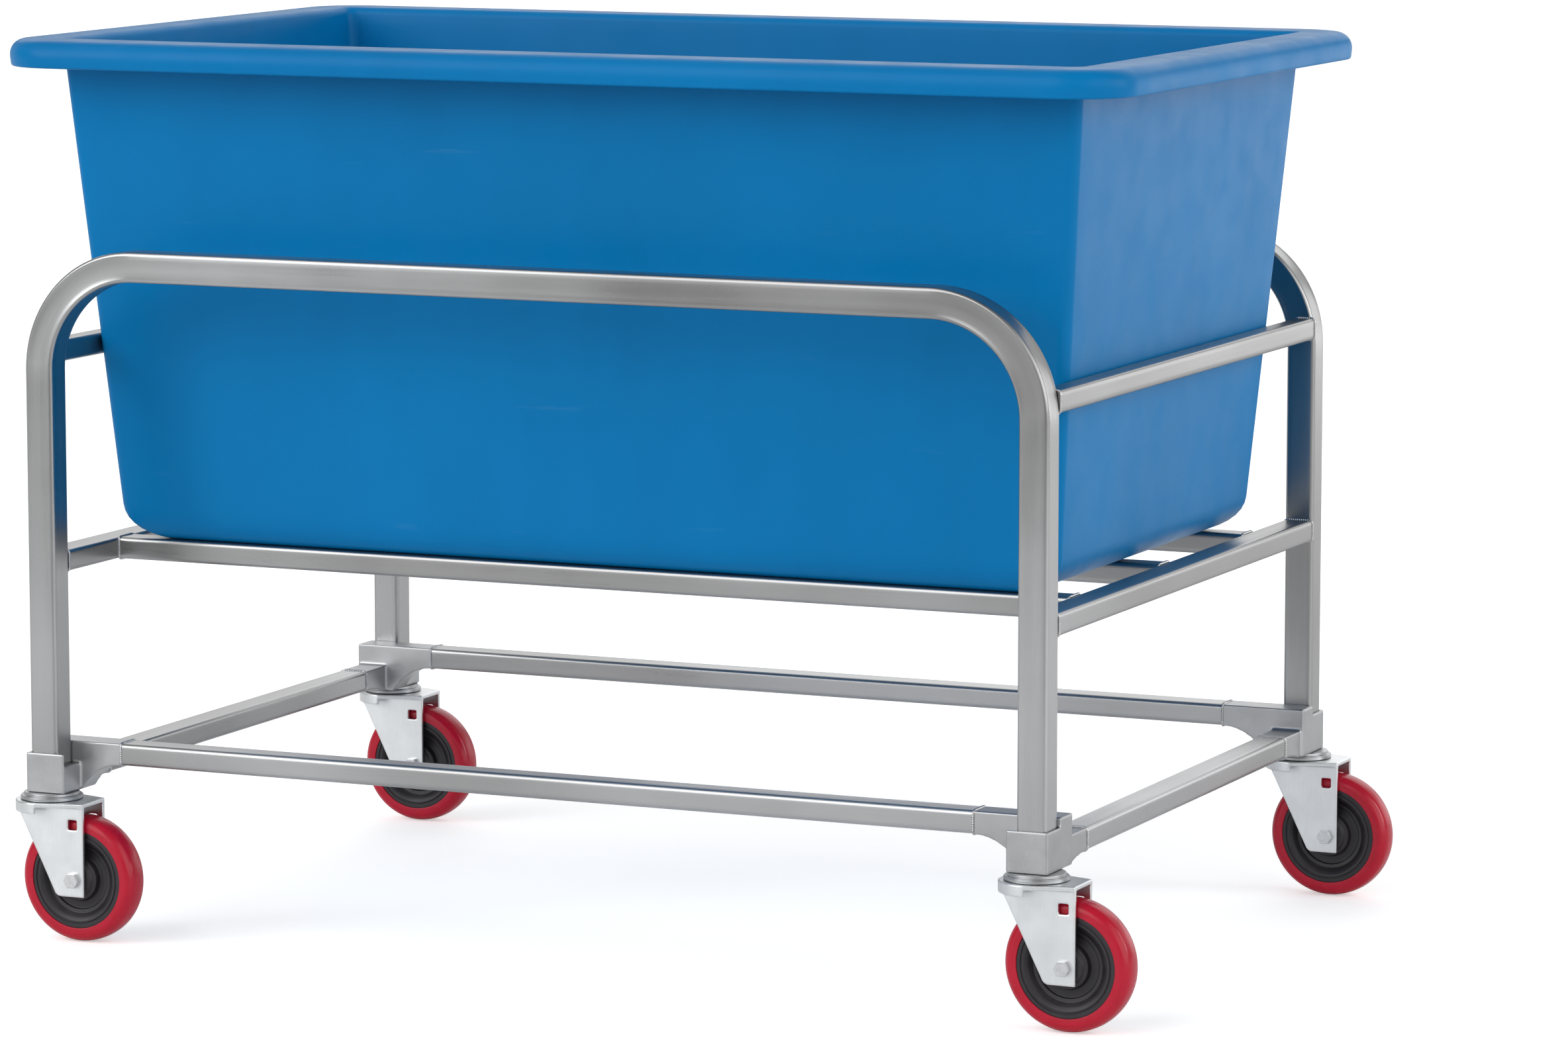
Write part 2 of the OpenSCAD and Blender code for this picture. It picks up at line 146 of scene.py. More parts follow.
def between(shade, amount, low, high, start=0.3, end=0.7):
    """Maps amount from start..end to low..high, as colours or as grey levels."""
    nodes, links = shade
    ramp = nodes.new("ShaderNodeValToRGB")
    for stop, place, value in zip(ramp.color_ramp.elements, (start, end), (low, high)):
        stop.position = place
        stop.color = (*value, 1) if isinstance(value, tuple) else (value, value, value, 1)
    links.new(amount, ramp.inputs["Fac"])
    return ramp.outputs["Color"]


def tinted(shade, first, second, way="MULTIPLY"):
    """The second colour mixed fully over the first, by multiplying unless way says otherwise."""
    nodes, links = shade
    mix = nodes.new("ShaderNodeMix")
    mix.data_type = "RGBA"
    mix.blend_type = way
    mix.inputs["Factor"].default_value = 1.0
    links.new(first, mix.inputs["A"])
    links.new(second, mix.inputs["B"])
    return mix.outputs["Result"]


def feed(node, socket, value):
    """Links value to one of the node's sockets."""
    node.id_data.links.new(value, node.inputs[socket])


def new_finish(name, metallic, **constants):
    """A material, its nodes and links, its shader, and object and UV coordinates. Each constant
    names a shader socket, with underscores for spaces."""
    material = bpy.data.materials.new(name)
    material.use_nodes = True
    nodes, links = material.node_tree.nodes, material.node_tree.links
    shader = nodes["Principled BSDF"]
    shader.inputs["Metallic"].default_value = metallic
    for socket, value in constants.items():
        shader.inputs[socket.replace("_", " ")].default_value = value
    place = nodes.new("ShaderNodeTexCoord")
    return material, (nodes, links), shader, place.outputs["Object"], place.outputs["UV"]


floor_colour, floor_shade, floor_shader, floor_spot, _ = new_finish(
    "pale_floor", 0.0, Roughness=0.75)
floor_tone = between(floor_shade, noise_layer(floor_shade, floor_spot, 0.7), 0.885, 0.9)
floor_place = floor_shade[0].new("ShaderNodeSeparateXYZ")
feed(floor_place, 0, floor_spot)
floor_dusk = floor_shade[0].new("ShaderNodeMapRange")
floor_dusk.inputs["From Min"].default_value = -3.6
floor_dusk.inputs["From Max"].default_value = -1.5
floor_dusk.inputs["To Min"].default_value = 0.42
feed(floor_dusk, "Value", floor_place.outputs["Y"])
floor_sight = floor_shade[0].new("ShaderNodeLightPath")
floor_mirrored = floor_shade[0].new("ShaderNodeMix")
floor_mirrored.inputs["A"].default_value = 1.0
feed(floor_mirrored, "Factor", floor_sight.outputs["Is Glossy Ray"])
feed(floor_mirrored, "B", floor_dusk.outputs["Result"])
feed(floor_shader, "Base Color", tinted(floor_shade, floor_tone, floor_mirrored.outputs["Result"]))
floor_shader.inputs["Emission Color"].default_value = (1, 1, 1, 1)
floor_glow = floor_shade[0].new("ShaderNodeMath")
floor_glow.operation = "MULTIPLY"
floor_glow.inputs[1].default_value = 0.42
feed(floor_glow, 0, floor_sight.outputs["Is Camera Ray"])
feed(floor_shader, "Emission Strength", floor_glow.outputs[0])
floor_reach = 60
floor = mesh_piece(
    "floor",
    [(sx * floor_reach, sy * floor_reach, 0) for sx, sy in ((-1, -1), (1, -1), (1, 1), (-1, 1))],
    [(0, 1, 2, 3)])
floor.data.materials.append(floor_colour)

# ---- Tub ----
# One moulded polyethylene shell: a flat floor, sloping walls and a rim that is rolled out and
# down. It stands on the deck rails by its own weight. The wall is lofted from rounded
# rectangles, as the mould is, and every ring is a closed loop.
tub_low, tub_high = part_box("tub")
tub_middle = (tub_low.x + tub_high.x) / 2
tub_wall = 0.005
tub_end_draft = math.tan(math.radians(4.5))
tub_side_draft = math.tan(math.radians(5.25))
tub_rim_reach = 0.054
tub_corner = 0.012
tub_least_corner = 0.010
tub_foot = {"end": 0.050, "side": 0.020, "rise": 0.035}
tub_rim_fillet = 0.012
tub_lip_height = 0.027
tub_rim_round = 0.018
tub_mouth_round = 0.008
tub_widest = tub_high.z - tub_rim_round


def tub_half_length(z):
    """Half length of the outer wall line at height z. The rim is widest below its rolled edge."""
    return (tub_high.x - tub_low.x) / 2 - tub_rim_reach - (tub_widest - z) * tub_end_draft


def tub_half_width(z):
    """Half width of the outer wall line at height z."""
    return (tub_high.y - tub_low.y) / 2 - tub_rim_reach - (tub_widest - z) * tub_side_draft


def arc(start, end, count):
    """Angles in radians from start to end degrees."""
    return np.radians(np.linspace(start, end, count))


def tub_section():
    """The wall's section as rows of (outset at the ends, outset at the sides, height): the foot's
    curve, up the outside, out under the rim, down and round the lip, back over the top and down
    the inside to the floor. A quarter turn is a centre plus sine and cosine of its angle."""
    def foot(inset, angles):
        return np.c_[
            -inset - tub_foot["end"] * (1 - np.sin(angles)),
            -inset - tub_foot["side"] * (1 - np.sin(angles)),
            tub_low.z + inset + tub_foot["rise"] * (1 - np.cos(angles)),
        ]

    def even(outset, z):
        return np.c_[outset, outset, z]

    under = tub_high.z - tub_wall
    inside = tub_rim_reach - tub_wall
    fillet, crest, mouth = tub_rim_fillet, tub_rim_round, tub_mouth_round
    lip_foot = tub_high.z - tub_lip_height
    lip_turn = tub_wall / 2
    wall_top = under - fillet
    wall_z = np.linspace(tub_low.z + tub_foot["rise"], wall_top, 40)[1:-1]
    rise, fall, lap = arc(0, 90, 9), arc(90, 0, 9), arc(180, 360, 11)
    inner_top = tub_high.z - mouth
    inner_z = np.linspace(inner_top, tub_low.z + tub_wall + tub_foot["rise"], 40)[1:-1]
    return np.vstack([
        foot(0, rise),
        even(0 * wall_z, wall_z),
        even(fillet * (1 - np.cos(rise)), under - fillet * (1 - np.sin(rise))),
        even(inside - fillet * (1 - np.cos(fall)), under - fillet * (1 - np.sin(fall))),
        even(inside + lip_turn + lip_turn * np.cos(lap),
             lip_foot + lip_turn + lip_turn * np.sin(lap)),
        even(tub_rim_reach - crest * (1 - np.cos(rise)), tub_high.z - crest * (1 - np.sin(rise))),
        even(mouth - tub_wall - mouth * np.cos(fall), tub_high.z - mouth * (1 - np.sin(fall))),
        even(0 * inner_z - tub_wall, inner_z),
        foot(tub_wall, fall),
    ])


def rounded_rectangle(half_l, half_w, radius, corner_steps, flat_steps):
    """A counterclockwise loop of points. A corner is its centre plus radius times the cosine and
    sine of its angle, and a flat runs from its last point to the next corner's first."""
    points = []
    signs = ((1, 1), (-1, 1), (-1, -1), (1, -1))
    for quarter, (sx, sy) in enumerate(signs):
        turn = arc(90 * quarter, 90 * quarter + 90, corner_steps)
        corner = np.c_[sx * (half_l - radius) + radius * np.cos(turn),
                       sy * (half_w - radius) + radius * np.sin(turn)]
        nx, ny = signs[(quarter + 1) % 4]
        finish = np.array([nx * (half_l - radius), ny * (half_w - radius)])
        finish += radius * np.array([math.cos(turn[-1]), math.sin(turn[-1])])
        share = np.linspace(0, 1, flat_steps)[1:-1, None]
        points += [corner, corner[-1] + share * (finish - corner[-1])]
    return np.vstack(points)


def tub_ring(end_out, side_out, z):
    """One level loop. Its half sizes are the wall line's plus the outsets, and the corner radius
    grows with the side's outset."""
    half_l, half_w = tub_half_length(z) + end_out, tub_half_width(z) + side_out
    radius = max(tub_corner + side_out, tub_least_corner)
    loop = rounded_rectangle(half_l, half_w, radius, 14, 26)
    return np.c_[loop + [tub_middle, 0], np.full(len(loop), z)]


def loft(rings, closed=False):
    """Quads between loops of points, and the points as one array. Each quad joins point i and
    i + 1 of one loop to the same points of the next."""
    rings = np.asarray(rings)
    loops, size = rings.shape[:2]
    row = np.arange(loops if closed else loops - 1)[:, None] * size
    here, there = np.arange(size)[None], (np.arange(size)[None] + 1) % size
    above = (row + size) % (loops * size)
    faces = np.stack([row + here, row + there, above + there, above + here], -1).reshape(-1, 4)
    return rings.reshape(-1, 3), faces


rings = [tub_ring(*row) for row in tub_section()]
ring_size = len(rings[0])
centre_steps = np.linspace(1, 0, 12)[1:-1]


def tub_floor(loop):
    """Loops that shrink from the floor's edge to its middle."""
    middle = np.array([tub_middle, 0, loop[0, 2]])
    return [middle + share * (loop - middle) for share in centre_steps]


rings = tub_floor(rings[0])[::-1] + rings + tub_floor(rings[-1])
tub_points, tub_faces = loft(rings)
tub_points = np.vstack([
    tub_points, [tub_middle, 0, tub_low.z], [tub_middle, 0, tub_low.z + tub_wall]])
around = np.arange(ring_size)
after = (around + 1) % ring_size
last_ring = (len(rings) - 1) * ring_size
tub_faces = tub_faces.tolist()
tub_faces += np.c_[after, around, 0 * around + len(tub_points) - 2].tolist()
tub_faces += np.c_[last_ring + around, last_ring + after, 0 * around + len(tub_points) - 1].tolist()
tub = mesh_piece("moulded_tub", tub_points, tub_faces)


def raised(shade, height, depth, strength=1.0, under=None):
    """A bump whose height runs over depth metres."""
    nodes, links = shade
    bump = nodes.new("ShaderNodeBump")
    bump.inputs["Strength"].default_value = strength
    bump.inputs["Distance"].default_value = depth
    links.new(height, bump.inputs["Height"])
    if under is not None:
        links.new(under, bump.inputs["Normal"])
    return bump.outputs["Normal"]


tub_blue, shade, shader, spot, _ = new_finish(
    "moulded_blue_polyethylene", 0.0, Specular_IOR_Level=0.10)
cloudy = between(shade, noise_layer(shade, spot, 3.5, 4),
                 (0.0, 0.156, 0.400), (0.0, 0.174, 0.436))
flow = between(shade, noise_layer(shade, spot, 14, 2, stretch=(1, 1, 0.25)), 0.95, 1.0)
scuff = between(shade, noise_layer(shade, spot, 60, 6, stretch=(0.15, 0.15, 1.4)),
                0.0, 0.02, 0.68, 0.84)
tone = tinted(shade, tinted(shade, cloudy, flow), scuff, "ADD")
feed(shader, "Base Color", tone)
feed(shader, "Roughness", between(shade, noise_layer(shade, spot, 22, 5), 0.30, 0.42))
peel = raised(shade, noise_layer(shade, spot, 420, 2), 0.00012, 0.35)
wavy = raised(shade, noise_layer(shade, spot, 5.5, 1), 0.0012, 0.25, under=peel)
feed(shader, "Normal", wavy)
tub.data.materials.append(tub_blue)
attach(tub, "cart_frame")
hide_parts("tub")

# ---- Square tube ----
# Aluminium tube with rounded corners and a satin, lengthwise brushed finish. Each side frame
# is one tube bent into an inverted U, and its walls dish a little inside the bends.
tube_wall = 0.0025
tube_round = 0.004
bend_radius = 0.105
bend_dish = 0.0011
dish_power = 2.5


def tube_outline(width, height, inset=0.0, corner_steps=7, flat_steps=7):
    """The tube's outline as (across, up), and the distance travelled round it. inset gives the
    inner wall's outline."""
    points = rounded_rectangle(
        width / 2 - inset, height / 2 - inset, tube_round - inset, corner_steps, flat_steps)
    steps = np.linalg.norm(np.diff(points, axis=0, append=points[:1]), axis=1)
    return points, np.r_[0, np.cumsum(steps)]


def square_tube(name, centres, across, up, width, height, dish=None):
    """A hollow square tube: each point is a centre plus the outline's two distances times the
    across and up directions there. dish draws the flats in, most at their middle. The UV map
    holds metres along the tube and metres round it."""
    centres, across, up = (np.asarray(v, float) for v in (centres, across, up))
    dish = np.zeros(len(centres)) if dish is None else dish
    skins = []
    for inset in (0.0, tube_wall):
        outline, travelled = tube_outline(width, height, inset)
        half = np.array([width, height]) / 2 - inset
        flat = 1 - np.abs(outline[:, ::-1] / half[::-1]) ** dish_power
        on_side = np.abs(outline) > half - 1e-6
        pull = np.where(on_side, np.clip(flat, 0, 1) * np.sign(outline), 0)
        shape = outline[None] - dish[:, None, None] * pull[None]
        skins.append(
            centres[:, None] + shape[..., :1] * across[:, None] + shape[..., 1:] * up[:, None])
    rings = np.concatenate([skins[0], skins[1][::-1]])
    points, faces = loft(rings, closed=True)
    obj = mesh_piece(name, points, faces)
    along = np.r_[0, np.cumsum(np.linalg.norm(np.diff(centres, axis=0), axis=1))]
    along = np.r_[along, along[::-1]]
    size = rings.shape[1]
    index = np.zeros(len(obj.data.loops), np.int32)
    obj.data.loops.foreach_get("vertex_index", index)
    corner = np.arange(len(index)) % 4
    column = index % size
    wrapped = (column == 0) & ((corner == 1) | (corner == 2))
    uv = np.c_[along[index // size], np.where(wrapped, travelled[size], travelled[column])]
    layer = obj.data.uv_layers.new(name="along_tube")
    layer.data.foreach_set("uv", uv.ravel())
    obj.data.set_sharp_from_angle(angle=math.radians(50))
    return obj


tube_metal, shade, shader, spot, along_tube = new_finish("brushed_aluminium_tube", 1.0)
streaks = noise_layer(shade, along_tube, 1, 4, stretch=(14, 4200, 1), roughness=0.5)
broad = noise_layer(shade, along_tube, 1, 3, stretch=(2, 120, 1))
smudge = noise_layer(shade, spot, 7, 2)
drift = noise_layer(shade, spot, 2.6, 1)
tone = tinted(shade, between(shade, streaks, (0.46, 0.467, 0.475), (0.51, 0.515, 0.52)),
              between(shade, smudge, 0.93, 1.0))
tone = tinted(
    shade, tone, between(shade, drift, (0.74, 0.73, 0.72), (1.0, 1.0, 1.0), 0.38, 0.62))
feed(shader, "Base Color", tone)
rough = tinted(shade, between(shade, broad, 0.24, 0.31), between(shade, smudge, 0.0, 0.06), "ADD")
feed(shader, "Roughness", rough)


def fit_tube(obj, node):
    """Gives the tube its metal and puts it in the place of its CAD node."""
    obj.data.materials.append(tube_metal)
    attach(obj, "cart_frame")
    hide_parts(node)


for side in ("front", "rear"):
    low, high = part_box(f"side_frame_{side}")
    post = high.y - low.y
    middle_x, middle_y = (low.x + high.x) / 2, (low.y + high.y) / 2
    leg_x, top_z = (high.x - low.x - post) / 2, high.z - post / 2
    run_up = np.linspace(low.z, top_z - bend_radius, 30)[:-1]
    turn = arc(0, 90, 25)
    run_over = np.linspace(leg_x - bend_radius, -(leg_x - bend_radius), 40)[1:-1]
    right = np.vstack([
        np.c_[0 * run_up + leg_x, run_up],
        np.c_[leg_x - bend_radius + bend_radius * np.cos(turn),
              top_z - bend_radius + bend_radius * np.sin(turn)],
    ])
    heading = np.r_[0 * run_up, turn]
    path = np.vstack([right, np.c_[run_over, 0 * run_over + top_z], right[::-1] * [-1, 1]])
    facing = np.r_[heading, 0 * run_over + math.pi / 2, (math.pi - heading)[::-1]]
    sunk = np.sin(2 * np.clip(heading, 0, math.pi / 2)) ** 0.7 * bend_dish
    dish = np.r_[sunk, 0 * run_over, sunk[::-1]]
    centres = np.c_[path[:, 0] + middle_x, 0 * dish + middle_y, path[:, 1]]
    outward = np.c_[np.cos(facing), 0 * facing, np.sin(facing)]
    sideways = np.tile([0.0, 1.0, 0.0], (len(facing), 1))
    fit_tube(square_tube(f"side_tube_{side}", centres, outward, sideways, post, post, dish),
             f"side_frame_{side}")

rails = [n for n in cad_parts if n.startswith(("mid_rail", "deck_", "base_"))]
for node in rails:
    low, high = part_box(node)
    middle, size = (low + high) / 2, high - low
    if size.x > size.y:
        run = np.linspace(low.x, high.x, 30)
        centres = np.c_[run, 0 * run + middle.y, 0 * run + middle.z]
        across, width = [0.0, 1.0, 0.0], size.y
    else:
        run = np.linspace(low.y, high.y, 24)
        centres = np.c_[0 * run + middle.x, run, 0 * run + middle.z]
        across, width = [-1.0, 0.0, 0.0], size.x
    spread = np.ones((len(run), 1))
    fit_tube(square_tube(f"{node}_tube", centres, spread * across, spread * [0.0, 0.0, 1.0],
                         width, size.z),
             node)

# ---- Corner castings ----
# Sand cast aluminium corners: a socket for the leg and an arm for each base rail, with the
# soft edges and fillets of a casting. They are welded to the leg and pinned by the caster.
casting_grain, casting_passes = 0.00125, 4


def softened(name, node, grain, passes):
    """A copy of a CAD node, skinned afresh with faces of size grain and eased by passes of
    smoothing, which rounds its edges and fillets its corners."""
    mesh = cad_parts[node].data.copy()
    mesh.materials.clear()
    rough_copy = bpy.data.objects.new(f"{name}_rough", mesh)
    bpy.context.scene.collection.objects.link(rough_copy)
    weld = rough_copy.modifiers.new("weld", "WELD")
    weld.merge_threshold = 1e-6
    skin = rough_copy.modifiers.new("skin", "REMESH")
    skin.mode = "VOXEL"
    skin.voxel_size = grain
    ease = rough_copy.modifiers.new("ease", "SMOOTH")
    ease.factor, ease.iterations = 0.5, passes
    depsgraph = bpy.context.evaluated_depsgraph_get()
    fresh = bpy.data.meshes.new_from_object(rough_copy.evaluated_get(depsgraph))
    bpy.data.objects.remove(rough_copy)
    fresh.name = name
    fresh.polygons.foreach_set("use_smooth", np.full(len(fresh.polygons), True))
    obj = bpy.data.objects.new(name, fresh)
    bpy.context.scene.collection.objects.link(obj)
    return obj


cast_metal, shade, shader, spot, _ = new_finish("cast_aluminium", 1.0)
sand = noise_layer(shade, spot, 900, 4)
patch = noise_layer(shade, spot, 38, 4)
tone = tinted(shade, between(shade, patch, (0.42, 0.427, 0.435), (0.50, 0.505, 0.515)),
              between(shade, sand, 0.90, 1.0))
feed(shader, "Base Color", tone)
feed(shader, "Roughness", between(shade, patch, 0.34, 0.46))
feed(shader, "Normal", raised(shade, sand, 0.00012, 0.5))

corners = ("front_left", "front_right", "rear_left", "rear_right")
for corner in corners:
    casting = softened(f"cast_corner_{corner}", f"corner_casting_{corner}",
                       casting_grain, casting_passes)
    casting.data.materials.append(cast_metal)
    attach(casting, "cart_frame")
    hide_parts(f"corner_casting_{corner}")

# ---- Caster forks ----
# Pressed from heavy sheet and zinc plated: a round crown with a rolled edge, and two legs
# with a square window over the wheel. The fork swivels on its balls under the upper race, and
# its bore is opened again after the smoothing, so that it clears the kingpin all round.
fork_grain, fork_passes = 0.0008, 3
swivel_bore_r = 0.0066
zinc, shade, shader, spot, _ = new_finish("bright_zinc_plate", 1.0)
spangle = noise_layer(shade, spot, 45, 2)
fine = noise_layer(shade, spot, 1500, 3, stretch=(1, 1, 0.04))
tone = tinted(shade, between(shade, spangle, (0.74, 0.76, 0.77), (0.80, 0.82, 0.83)),
              between(shade, fine, 0.95, 1.0))
feed(shader, "Base Color", tone)
feed(shader, "Roughness", between(shade, spangle, 0.33, 0.38))
feed(shader, "Normal", raised(shade, fine, 0.00005, 0.5))
for corner in corners:
    fork = softened(f"pressed_fork_{corner}", f"caster_fork_{corner}", fork_grain, fork_passes)
    low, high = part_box(f"caster_upper_race_{corner}")
    spots = np.zeros(3 * len(fork.data.vertices))
    fork.data.vertices.foreach_get("co", spots)
    spots = spots.reshape(-1, 3)
    off_axis = spots[:, :2] - np.array((low + high) / 2)[:2]
    distance = np.linalg.norm(off_axis, axis=1, keepdims=True)
    spots[:, :2] += off_axis * (np.maximum(distance, swivel_bore_r) / distance - 1)
    fork.data.vertices.foreach_set("co", spots.ravel())
    fork.data.materials.append(zinc)
    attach(fork, f"swivel_{corner}")
    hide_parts(f"caster_fork_{corner}")

# ---- Upper races, kingpins and balls ----
# The race is pressed in two steps and its edge is turned down over the balls. The kingpin is
# riveted through it and the fork's crown, with its stem held by a nut inside the leg.
race_bore_r = 0.0064
race_step_in, race_groove_in, race_lip = 0.0035, 0.0010, 0.0025
race_plate = 0.0042


def turned_piece(name, profile, centre, steps=96, upright=False):
    """A closed profile of (radius, distance along the axle) carried round an axle along Y, or
    along Z when upright: each point is the centre plus its radius times the cosine and sine of
    the angle."""
    profile = np.asarray(profile, float)
    angle = np.linspace(0, 2 * math.pi, steps, endpoint=False)[:, None]
    across, along = profile[None, :, 0], 0 * angle + profile[None, :, 1]
    parts = [np.cos(angle) * across, along, np.sin(angle) * across]
    if upright:
        parts = [np.cos(angle) * across, -np.sin(angle) * across, along]
    points, faces = loft(np.stack(parts, -1) + np.array(centre), closed=True)
    return mesh_piece(name, points, faces)


def rounded_profile(corners):
    """A closed profile through corners of (radius, distance, rounding), each corner replaced by
    a quadratic curve that starts and ends at the rounding's distance from it."""
    spots = np.array([c[:2] for c in corners], float)
    reach = np.array([c[2] for c in corners], float)[:, None]
    before, after = np.roll(spots, 1, 0) - spots, np.roll(spots, -1, 0) - spots
    before /= np.linalg.norm(before, axis=1)[:, None]
    after /= np.linalg.norm(after, axis=1)[:, None]
    t = np.linspace(0, 1, 5)[None, :, None]
    a, b, c = (v[:, None] for v in (spots + before * reach, spots, spots + after * reach))
    return ((1 - t) ** 2 * a + 2 * t * (1 - t) * b + t ** 2 * c).reshape(-1, 2)


def coat(node, finish):
    """Gives a CAD node that is shown as it is its material."""
    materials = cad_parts[node].data.materials
    materials.clear()
    materials.append(finish)


# The races get a darker copy of the fork's zinc plate, with about the same roughness: the darkness
# is painted shade from under the casting sockets.
painted_shade_zinc, shade, shader, spot, _ = new_finish("painted_shade_zinc_plate", 1.0)
tone = between(shade, noise_layer(shade, spot, 45, 2), (0.38, 0.39, 0.40), (0.46, 0.47, 0.48))
feed(shader, "Base Color", tone)
feed(shader, "Roughness", between(shade, noise_layer(shade, spot, 300, 3), 0.30, 0.38))
for corner in corners:
    low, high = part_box(f"caster_upper_race_{corner}")
    centre = (low + high) / 2
    half, edge = (high.z - low.z) / 2, (high.x - low.x) / 2
    under, lip = half - race_plate, edge - race_lip
    groove, step = edge - race_groove_in, edge - race_step_in
    race = turned_piece(f"pressed_race_{corner}", rounded_profile([
        (race_bore_r, under, 0.0002), (lip, under, 0.0004),
        (lip, -half, 0.0004), (edge, -half, 0.0010), (edge, half - 0.0038, 0.0004),
        (groove, half - 0.0036, 0.0002), (groove, half - 0.0029, 0.0002),
        (step, half - 0.0026, 0.0005), (step, half, 0.0009), (race_bore_r, half, 0.0002),
    ]), centre, upright=True)
    race.data.materials.append(painted_shade_zinc)
    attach(race, "cart_frame")
    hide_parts(f"caster_upper_race_{corner}")
    coat(f"caster_kingpin_{corner}", zinc)
coat("stem_nuts", zinc)
ball_steel, shade, shader, spot, _ = new_finish("polished_ball_steel", 1.0)
tone = between(shade, noise_layer(shade, spot, 500, 3), 0.62, 0.72)
feed(shader, "Base Color", tone)
feed(shader, "Roughness", between(shade, noise_layer(shade, spot, 300, 3), 0.08, 0.16))
for corner in corners:
    coat(f"caster_balls_{corner}", ball_steel)

# ---- Wheels ----
# A stepped core moulded in black plastic with a red polyurethane tyre cast onto it. The
# wheel turns on the spanner bush between the fork legs.
core_r = 0.049
core_bore_r = 0.00806
core_clear = 0.001
tyre_shoulder_in, tyre_shoulder_side = 0.0012, 0.0055
tyre_face_in = 0.0065

tyre_red, shade, shader, spot, _ = new_finish("red_polyurethane", 0.0, Specular_IOR_Level=0.35)
cast_cloud = between(
    shade, noise_layer(shade, spot, 40, 3), (0.40, 0.003, 0.020), (0.45, 0.005, 0.026))
feed(shader, "Base Color", cast_cloud)
feed(shader, "Roughness", between(shade, noise_layer(shade, spot, 90, 4), 0.20, 0.28))
feed(shader, "Normal", raised(shade, noise_layer(shade, spot, 700, 3), 0.00008, 0.4))

core_black, shade, shader, spot, _ = new_finish("black_moulded_core", 0.0, Specular_IOR_Level=0.45)
tone = between(
    shade, noise_layer(shade, spot, 60, 3), (0.013, 0.011, 0.014), (0.021, 0.018, 0.022))
feed(shader, "Base Color", tone)
feed(shader, "Roughness", between(shade, noise_layer(shade, spot, 120, 4), 0.38, 0.5))
feed(shader, "Normal", raised(shade, noise_layer(shade, spot, 1100, 3), 0.0001, 0.5))

for corner in corners:
    low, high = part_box(f"wheel_tyre_{corner}")
    centre = (low + high) / 2
    tread_r, half = (high.z - low.z) / 2, (high.y - low.y) / 2
    face_r, shoulder_r = tread_r - tyre_face_in, tread_r - tyre_shoulder_in
    shoulder = half - tyre_shoulder_side
    tyre = turned_piece(f"cast_tyre_{corner}", rounded_profile([
        (core_r, -half, 0.0006), (face_r, -half, 0.0035), (shoulder_r, -shoulder, 0.0035),
        (tread_r, 0, 0.004), (shoulder_r, shoulder, 0.0035), (face_r, half, 0.0035),
        (core_r, half, 0.0006),
    ]), centre, 128)
    tyre.data.materials.append(tyre_red)
    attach(tyre, f"wheel_{corner}")
    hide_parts(f"wheel_tyre_{corner}")

    low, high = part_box(f"wheel_core_{corner}")
    hub = (high.y - low.y) / 2
    band = half - core_clear
    groove = band - 0.0012
    outer = [
        (core_bore_r, hub, 0.0006), (0.0165, hub, 0.0012), (0.0185, hub - 0.003, 0.001),
        (0.0215, hub - 0.0035, 0.001), (0.0225, 0.0065, 0.0014), (0.0305, 0.0062, 0.0008),
        (0.0312, 0.0085, 0.0006), (0.0345, 0.0088, 0.0006), (0.0385, band - 0.002, 0.0012),
        (0.0415, band, 0.0008), (0.0435, band, 0.0005), (0.0438, groove, 0.0003),
        (0.0452, groove, 0.0003), (0.0455, band, 0.0003), (core_r, band, 0.0004),
    ]
    core = turned_piece(f"moulded_core_{corner}", rounded_profile(
        [(r, -y, e) for r, y, e in outer] + outer[::-1]), centre)
    core.data.materials.append(core_black)
    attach(core, f"wheel_{corner}")
    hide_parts(f"wheel_core_{corner}")

# ---- Axles ----
# A plated hex bolt with a washer and a lock nut, tight on the spanner bush.
bolt_grain, bolt_passes = 0.0004, 2

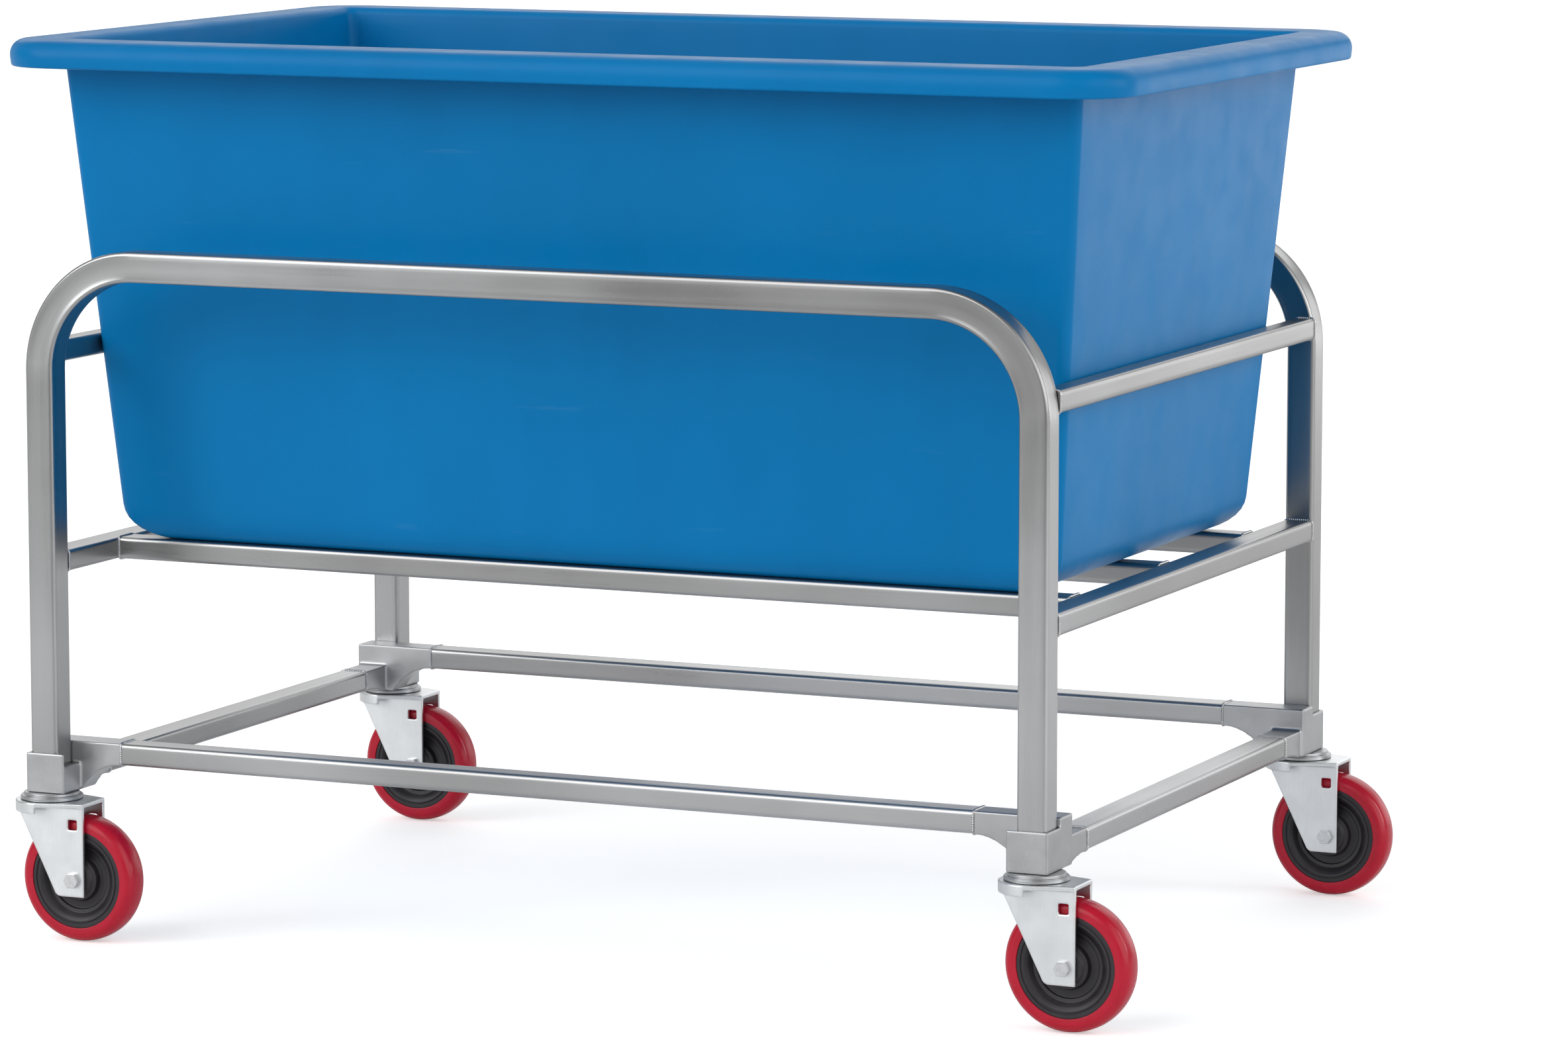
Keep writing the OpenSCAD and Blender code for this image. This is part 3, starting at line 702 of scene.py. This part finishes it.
bolt_steel, shade, shader, spot, _ = new_finish("plated_bolt_steel", 1.0)
tone = between(shade, noise_layer(shade, spot, 260, 4), (0.58, 0.59, 0.60), (0.72, 0.72, 0.73))
feed(shader, "Base Color", tone)
feed(shader, "Roughness", between(shade, noise_layer(shade, spot, 400, 3), 0.24, 0.36))
for corner in corners:
    bolt = softened(f"axle_bolt_{corner}", f"axle_bolt_set_{corner}", bolt_grain, bolt_passes)
    bolt.data.materials.append(bolt_steel)
    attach(bolt, f"swivel_{corner}")
    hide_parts(f"axle_bolt_set_{corner}")
    coat(f"spanner_bush_{corner}", bolt_steel)

# ---- Weld beads ----
# Thin rippled beads run round each rail where it is welded to a leg, another rail or a
# casting's arm.
bead_radius = 0.0013
bead_ripple = 0.0022
bead_swell = 0.22


def weld_bead(centre, across, up, width, height):
    """Points and faces of one bead: a small circle carried round the rail's outline, its radius
    swelling and shrinking with the sine of the distance travelled."""
    outline, travelled = tube_outline(width, height, 0.0, 9, 60)
    outward = np.roll(outline, -1, 0) - np.roll(outline, 1, 0)
    outward = np.c_[outward[:, 1], -outward[:, 0]]
    outward /= np.linalg.norm(outward, axis=1)[:, None]
    radius = bead_radius * (
        1 + bead_swell * np.sin(2 * math.pi * travelled[:-1] / bead_ripple))
    centre, across, up = (np.asarray(v, float) for v in (centre, across, up))
    along = np.cross(across, up)
    turn = np.linspace(0, 2 * math.pi, 8, endpoint=False)[:, None]
    flat = outline[None] + (np.cos(turn) * radius)[..., None] * outward[None]
    lift = np.sin(turn) * radius
    rings = centre + flat[..., :1] * across + flat[..., 1:] * up + lift[..., None] * along
    return loft(rings, closed=True)


seams = []
X, Y, Z = np.eye(3)
for node in rails:
    low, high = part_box(node)
    middle, size = (low + high) / 2, high - low
    if size.x > size.y:
        seams += [((x, middle.y, middle.z), Y, Z, size.y, size.z) for x in (low.x, high.x)]
    else:
        seams += [((middle.x, y, middle.z), -X, Z, size.x, size.z) for y in (low.y, high.y)]
weld_points, weld_faces, used = [], [], 0
for seam in seams:
    points, faces = weld_bead(*seam)
    weld_points.append(points)
    weld_faces.append(faces + used)
    used += len(points)
beads = mesh_piece("weld_beads", np.vstack(weld_points), np.vstack(weld_faces))
weld_metal, shade, shader, spot, _ = new_finish("rippled_weld", 1.0)
tone = between(shade, noise_layer(shade, spot, 300, 3), (0.50, 0.50, 0.51), (0.62, 0.62, 0.62))
feed(shader, "Base Color", tone)
feed(shader, "Roughness", between(shade, noise_layer(shade, spot, 200, 3), 0.28, 0.40))
beads.data.materials.append(weld_metal)
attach(beads, "cart_frame")
